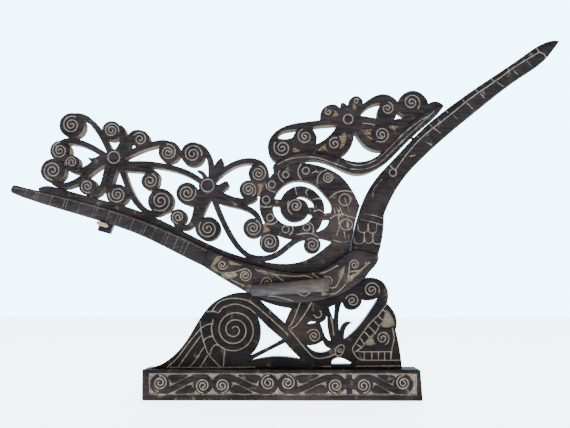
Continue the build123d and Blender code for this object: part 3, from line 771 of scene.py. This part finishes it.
# ------------------------------------------------------------------ foot panel
foot_lines = [
    spiral(-71, 57, 34.5, 157, 2.9, 4.0),
    stroke((-88, 90), (-70, 95), (-50, 89), (-40, 81)),
    stroke((-104, 85), (-97, 95), (-88, 101), (-75, 103.5), (-60, 102.5), (-50, 99.5), (-40, 93), (-20, 76),
           (0, 58), (8, 50)),
    stroke((-110, 84), (-100, 84), (-95, 82), (-90, 88)),
    stroke((-120, 60), (-140, 36), (-155, 16), (-170, 2)), stroke((-121, 48), (-140, 22), (-154, 2)),
    stroke((-117, 30), (-130, 10), (-138, 2)), stroke((-110, 20), (-121, 3)),
    stroke((-122, 70), (-119, 50), (-112, 27), (-107, 20)), stroke((-120, 60), (-110, 65), (-102, 66)),
    stroke((-117, 40), (-112, 45), (-104, 48)), stroke((-106, 22), (-104, 30), (-97, 35), (-85, 29)),
    stroke((-107, 18), (-95, 6), (-90, 2)), stroke((-85, 28), (-87, 3)),
    stroke((48, 107), (42, 95), (33, 80), (22, 65), (15, 60)),
    stroke((27, 98), (22, 85), (15, 68), (10, 62)),
    stroke((10, 58), (25, 40), (35, 28), (45, 18), (55, 15), (70, 18), (78, 22)),
    spiral(132, 116, 12, -20, 1.9), spiral(104, 100, 10, 150, -1.6), spiral(47, 48, 10.5, 150, -1.8),
    stroke((47, 79), (50, 75.5), (55, 75.5), (58, 79), (57, 83)),
    stroke((78.5, 20), (79, 29), (85, 34.5), (91, 33.5), (90, 25), (85, 19), (78.5, 20)),
    ring(84.6, 26.6, 2.4),
    stroke((155, 96), (143, 80), (130, 67), (117, 50), (108, 37), (104, 30), (105, 24), (110, 17), (118, 13),
           (145, 12.5), (171, 12.5)),
    stroke((150, 86), (157, 76), (150, 70), (143, 62), (138, 53), (130, 45), (121, 35), (115, 30), (112, 27),
           (117, 25), (160, 25)),
    stroke((160, 13), (162, 30), (165, 45), (163, 58)), spiral(148, 45, 10.5, -60, 1.7),
    stroke((-165, 1.8), (-100, 2.0), (-40, 2.6)), stroke((60, 3.5), (70, 3.6)),
    stroke((110, 3.9), (172, 4.4)),
    stroke((85, 62), (83, 75), (86, 92)), stroke((76, 50), (74, 66), (72, 76)),
]
foot_lines += [stroke(a, b) for a, b in (
    ((143, 76), (150, 70)), ((137, 69), (143, 62)), ((130, 60), (137, 53)), ((123, 53), (130, 45)),
    ((116, 44), (121, 36)), ((111, 35), (117, 31)), ((108, 25), (112, 28)))]
foot_lines += [stroke((x, 13.5), (x, 24.5)) for x in (121, 132, 142, 151, 160)]
foot = Carving(
    "foot_panel_carved", pierced("foot_panel"), foot_lines, FOOT_HALF, seed=11,
    levels=[recess("foot_panel", FOOT_HALF, POCKET_DEPTH, half_thickness("foot_panel") - POCKET_DEPTH / 2)],
    raw=0.45, wear=patch((20, 60, 30, 30), strength=0.7))


# ------------------------------------------------------------------ neck, beak and tail
def across(node):
    """Half thickness of a tapered blade at each place along its length."""
    tri = triangles(node)
    points = tri.reshape(-1, 3)
    stations = np.arange(math.floor(points[:, 0].min()), math.ceil(points[:, 0].max()) + 1, 4.0)
    widths = []
    for x in stations:
        band = points[np.abs(points[:, 0] - x) < 9]
        widths.append(band[:, 1].max() if len(band) else np.nan)
    widths = np.array(widths)
    known = ~np.isnan(widths)

    def half(flat):
        return np.interp(flat[:, 0], stations[known], widths[known])
    return half


def ridge(line, node, drop):
    """Half thickness that falls away on both sides of a ridge line, within the CAD's own taper."""
    near = Near([line], False)
    base = across(node)

    def half(flat):
        far = near.distance(flat)
        return base(flat) - drop * np.clip(far / 22.0, 0, 1.4) - 0.15
    return half


BEAK_RIDGE = [(168, 294), (180, 311), (200, 335), (220, 353), (250, 376.5), (280, 401), (320, 429),
              (350, 451), (386, 473)]
TICKS = [((203, 342), (199, 346)), ((223, 358), (219, 363)), ((246, 381), (242, 385)),
         ((271, 397), (267, 402)), ((293, 411), (288, 416)), ((315, 429), (311, 433)),
         ((339, 446), (335, 450)), ((363, 460), (357, 466)), ((190, 314), (197, 316)),
         ((213, 336), (220, 333)), ((226, 356), (235, 350)), ((255, 376), (261, 371)),
         ((277, 393), (283, 388)), ((297, 408), (302, 403)), ((322, 426), (329, 422)),
         ((347, 444), (353, 439)), ((368, 458), (375, 452))]
neck_lines = [stroke(*BEAK_RIDGE), ring(164, 289.5, 5.3), stroke((386, 473), (383, 478), (382, 483)),
              stroke((386, 473), (394, 470), (397, 465)), stroke((160, 301), (164, 296))]


def scale(left, right, low, high):
    """One rounded scale, open at the top."""
    third = (right - left) / 4
    return stroke((left, high), (left + 0.6, low + 4), (left + third, low + 0.6), ((left + right) / 2, low),
                  (right - third, low + 0.6), (right - 0.6, low + 4), (right, high))


neck_scales = [scale(106, 121, 184, 199), scale(121, 134, 185, 200), scale(134, 148, 184, 199),
               scale(112, 127, 201, 214), scale(127, 140, 200, 213),
               stroke((121, 228), (136, 226), (150, 222)),
               stroke((148, 280), (140, 271), (135, 263), (134, 253)),
               stroke((116, 220), (135, 216), (149, 212))]
neck_scales += [stroke(a, b) for a, b in TICKS]
neck = Carving("neck_beak_carved", tidy_loops(front_edge("neck_beak")), neck_lines,
               ridge(stroke((118, 178), (126, 215), (143, 258), *BEAK_RIDGE, (412, 489)), "neck_beak", 5.0),
               seed=14, faint=neck_scales, edge=(1.3, 2.2), raw=0.05, wavy=0.35,
               wear=patch((135, 200, 30, 60), strength=0.35), wall_wave=0.25)

TAIL_BANDS = (-382.5, -343.5, -300.5, -256.5, -220, -187, -154)
TAIL_PAIRS = ((-368, -364), (-323.5, -319.5), (-278.5, -274.5), (-243, -238), (-204.5, -199.7),
              (-171.6, -167), (-143.5, -138))
TAIL_TOP = [(-403, 270.5), (-352, 260), (-300, 247), (-250, 232.5), (-200, 215), (-150, 193.5),
            (-112, 175.5)]
TAIL_UNDER = [(-406, 263), (-350, 242.5), (-300, 227.5), (-250, 212), (-200, 192.4), (-150, 167.4),
              (-117, 151.5)]


def tail_band(x):
    """A line across the blade at right angles to it, x being its place on the top edge."""
    top_x, top_h = zip(*TAIL_TOP)
    under_x, under_h = zip(*TAIL_UNDER)
    high = np.interp(x, top_x, top_h)
    slope = (np.interp(x + 5, top_x, top_h) - high) / 5
    low_x = x + slope * 19
    low = np.interp(low_x, under_x, under_h)
    return stroke((x, high - 0.5), (x + (low_x - x) * 0.5, (high + low) / 2), (low_x, low + 1.0))


tail_lines = [tail_band(x) for x in TAIL_BANDS] + [tail_band(x) for pair in TAIL_PAIRS for x in pair]
tail_top_line = stroke(*[(x, h - 1.5) for x, h in TAIL_TOP])
tail = Carving("tail_blade_carved", tidy_loops(front_edge("tail_blade")), [],
               ridge(stroke((-400, 266), (-350, 251), (-300, 237), (-250, 222), (-200, 204), (-150, 181),
                            (-114, 164)), "tail_blade", 2.5),
               seed=17, edge=(1.2, 2.0), raw=0.1, wavy=0.3, faint=tail_lines + [tail_top_line])

# ------------------------------------------------------------------ plinth
# Each S-scroll's coils and whether its band climbs to the right.
PLINTH_SCROLLS = ((-178, -115, 1), (-87.5, -20, -1), (8, 78, 1), (118, 176, -1))
FRIEZE_MIDDLE = 24.0 - BASE
FRIEZE_CORNERS = [(-193, 39 - BASE), (-193, 9 - BASE), (195, 9 - BASE), (195, 39 - BASE)]


def plinth_lines():
    """Spirals on the frieze's coils, each set away from the band that wraps round it."""
    lines = []
    for left, right, rise in PLINTH_SCROLLS:
        for x, above in ((left, -rise), (right, rise)):
            shift = -2.0 * above
            lines.append(spiral(x, FRIEZE_MIDDLE + shift, 10.6, -90 * above, -1.9 * rise, 2.2))
    return lines


plinth = Carving(
    "plinth_carved", pierced("plinth", BELOW_FRIEZE), plinth_lines(), PLINTH_HALF, seed=21,
    faint=[even(FRIEZE_CORNERS + FRIEZE_CORNERS[:1])], ground="lime",
    levels=[recess("plinth", PLINTH_HALF, FRIEZE_DEPTH, half_thickness("plinth") - FRIEZE_CUT)],
    edge=(1.6, 2.2), raw=0.12, wavy=0.45, wear=patch((10, -40, 60, 8), strength=0.8),
    rows=(0.12, 0.3, 0.5, 0.7, 0.88), wall_wave=0.5)

for carving, material, node_name in ((foot, foot_wood, "foot_panel"), (neck, beak_wood, "neck_beak"),
                                     (tail, tail_wood, "tail_blade"), (plinth, plinth_wood, "plinth")):
    dress(carving.build(), material, "stained_wood", node_name)


# ------------------------------------------------------------------ wing bars and pegs
BAR_CENTRE = (11.4, 119.5)
BAR_LENGTH = 114.0
BAR_RADII = (8.4, 10.4)
BAR_SEAT = 7.0          # from the body's face to the bar's axis
BAR_TILT = math.radians(4.6)
BAR_ROUNDING = 3.0
SEAM = 0.21             # where a cut runs round the bar, as a share of its length


def wing_bar(node, side, seed):
    """A tapered round bar flattened where it lies on the body, with softened ends and a cut round it."""
    stations = np.unique(np.concatenate([np.linspace(0, 0.03, 7), np.linspace(0.03, 0.97, 64),
                                         np.linspace(0.97, 1, 7), SEAM + np.linspace(-0.012, 0.012, 7)]))
    around = 40
    flank = half_thickness("body")
    points, polygons, worn = [], [], []
    for share in stations:
        along = (share - 0.5) * BAR_LENGTH
        to_end = min(share, 1 - share) * BAR_LENGTH
        radius = BAR_RADII[0] + (BAR_RADII[1] - BAR_RADII[0]) * share
        if to_end < BAR_ROUNDING:
            radius -= BAR_ROUNDING - math.sqrt(BAR_ROUNDING ** 2 - (BAR_ROUNDING - to_end) ** 2)
        radius -= 0.7 * math.exp(-((share - SEAM) * BAR_LENGTH / 0.7) ** 2)
        spread = math.acos(-BAR_SEAT / max(radius, BAR_SEAT + 0.05))
        for j in range(around):
            angle = spread * (2 * j / (around - 1) - 1)
            chip = noise.noise((share * 5 + seed, math.sin(angle) * 1.6, math.cos(angle) * 1.6))
            facet = 0.25 * chip - 0.12
            out = max(0.0, BAR_SEAT + (radius + facet) * math.cos(angle))
            up = (radius + facet) * math.sin(angle)
            x = BAR_CENTRE[0] + along * math.cos(BAR_TILT) - up * math.sin(BAR_TILT)
            h = BAR_CENTRE[1] + along * math.sin(BAR_TILT) + up * math.cos(BAR_TILT)
            points.append((x, side * (flank + out), h + BASE))
            worn.append(min(1.0, max(0.0, (share - 0.5) * 2.2)))
    rows = len(stations)
    for i in range(rows - 1):
        for j in range(around):
            a, b = i * around + j, i * around + (j + 1) % around
            polygons.append((a, a + around, b + around, b))
    polygons.append(tuple(range(around)))
    polygons.append(tuple(range(rows * around - 1, (rows - 1) * around - 1, -1)))
    if side > 0:
        polygons = [quad[::-1] for quad in polygons]
    zero = np.zeros(len(points))
    piece = make_piece(node + "_carved", np.array(points) / 1000, polygons, zero, zero, worn, 45)
    dress(piece, bar_wood, "stained_wood", node)


wing_bar("wing_bar_front", -1, 2.0)
wing_bar("wing_bar_back", 1, 6.0)

peg_carving = Carving("tail_lock_peg_carved", tidy_loops(section("tail_lock_peg", PEG_CUT)), [], PEG_HALF,
                      seed=31, edge=(0.8, 1.2), grid=1.5, wavy=0.2, raw=0.0, wall_wave=0.1,
                      rows=(0.03, 0.2, 0.5, 0.8, 0.97))
dress(peg_carving.build(), peg_wood, "raw_wood", "tail_lock_peg")

for name, node_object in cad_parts.items():
    if not node_object.hide_render:
        node_object.data.materials.clear()
        node_object.data.materials.append(peg_wood)


# ------------------------------------------------------------------ floor, light and camera
def plain(name, colour, roughness, glow):
    material = bpy.data.materials.new(name)
    material.use_nodes = True
    shader = material.node_tree.nodes["Principled BSDF"]
    shader.inputs["Base Color"].default_value = (*colour, 1)
    shader.inputs["Roughness"].default_value = roughness
    shader.inputs["Emission Color"].default_value = (*colour, 1)
    shader.inputs["Emission Strength"].default_value = glow
    return material


ROOM_LIGHT = 0.5
WALL_LIGHT = 10.5
floor_mesh = bpy.data.meshes.new("floor")
reach = 6 * (cad_high.x - cad_low.x)
floor_mesh.from_pydata([(-reach, -reach, 0), (reach, -reach, 0), (reach, reach, 0), (-reach, reach, 0)], [],
                       [(0, 1, 2, 3)])
floor = bpy.data.objects.new("floor", floor_mesh)
floor.location.z = cad_low.z - 0.0002
bpy.context.scene.collection.objects.link(floor)
floor_mesh.materials.append(plain("pale_floor", (0.78, 0.92, 1.0), 0.7, 5.0))

world = bpy.data.worlds.new("studio")
bpy.context.scene.world = world
world.use_nodes = True
background = world.node_tree.nodes["Background"]
# The wall behind the object is bright and cool, and the room in front of it is dimmer and warmer.
nodes, links = world.node_tree.nodes, world.node_tree.links
direction = nodes.new("ShaderNodeTexCoord")
parts = nodes.new("ShaderNodeSeparateXYZ")
share = nodes.new("ShaderNodeMapRange")
share.interpolation_type = "SMOOTHSTEP"
share.inputs["From Min"].default_value = 0.7
share.inputs["From Max"].default_value = 0.88
strength = nodes.new("ShaderNodeMapRange")
strength.inputs["To Min"].default_value = ROOM_LIGHT
strength.inputs["To Max"].default_value = WALL_LIGHT
tint = nodes.new("ShaderNodeMix")
tint.data_type = "RGBA"
tint.inputs["A"].default_value = (1.0, 0.93, 0.86, 1)
tint.inputs["B"].default_value = (0.47, 0.79, 1.0, 1)
links.new(direction.outputs["Generated"], parts.inputs["Vector"])
links.new(parts.outputs["Y"], share.inputs["Value"])
links.new(share.outputs["Result"], strength.inputs["Value"])
links.new(share.outputs["Result"], tint.inputs["Factor"])
links.new(strength.outputs["Result"], background.inputs["Strength"])
links.new(tint.outputs["Result"], background.inputs["Color"])


def softbox(name, place, aim, size, power, colour=(1, 1, 1)):
    data = bpy.data.lights.new(name, "AREA")
    data.shape = "DISK"
    data.size = size
    data.energy = power
    data.color = colour
    lamp = bpy.data.objects.new(name, data)
    lamp.location = place
    lamp.rotation_euler = (Vector(aim) - Vector(place)).to_track_quat("-Z", "Y").to_euler()
    bpy.context.scene.collection.objects.link(lamp)


middle = (cad_low + cad_high) / 2
softbox("key", (-0.9, -1.5, 1.5), middle, 1.2, 10, (1.0, 0.93, 0.86))
softbox("fill", (1.4, -1.0, 0.7), middle, 1.2, 6, (1.0, 0.93, 0.86))
softbox("back", (0.4, 1.5, 1.3), middle, 1.2, 10)
softbox("overhead", (0.0, 0.1, 2.4), (0, 0.1, 0), 1.4, 32, (1.0, 0.95, 0.9))

CAMERA_PLACE = (0.016, -1.225, 0.150)
CAMERA_AIM = (0.0039, 0, 0.2076)
CAMERA_LENS = 51.68
CAMERA_SENSOR = 36
CAMERA_SHIFT = 0.0789
camera_data = bpy.data.cameras.new("camera")
camera = bpy.data.objects.new("camera", camera_data)
bpy.context.scene.collection.objects.link(camera)
bpy.context.scene.camera = camera
camera_data.lens = CAMERA_LENS
camera_data.sensor_width = CAMERA_SENSOR
camera_data.shift_y = CAMERA_SHIFT
camera.location = CAMERA_PLACE
camera.rotation_euler = (Vector(CAMERA_AIM) - camera.location).to_track_quat("-Z", "Y").to_euler()
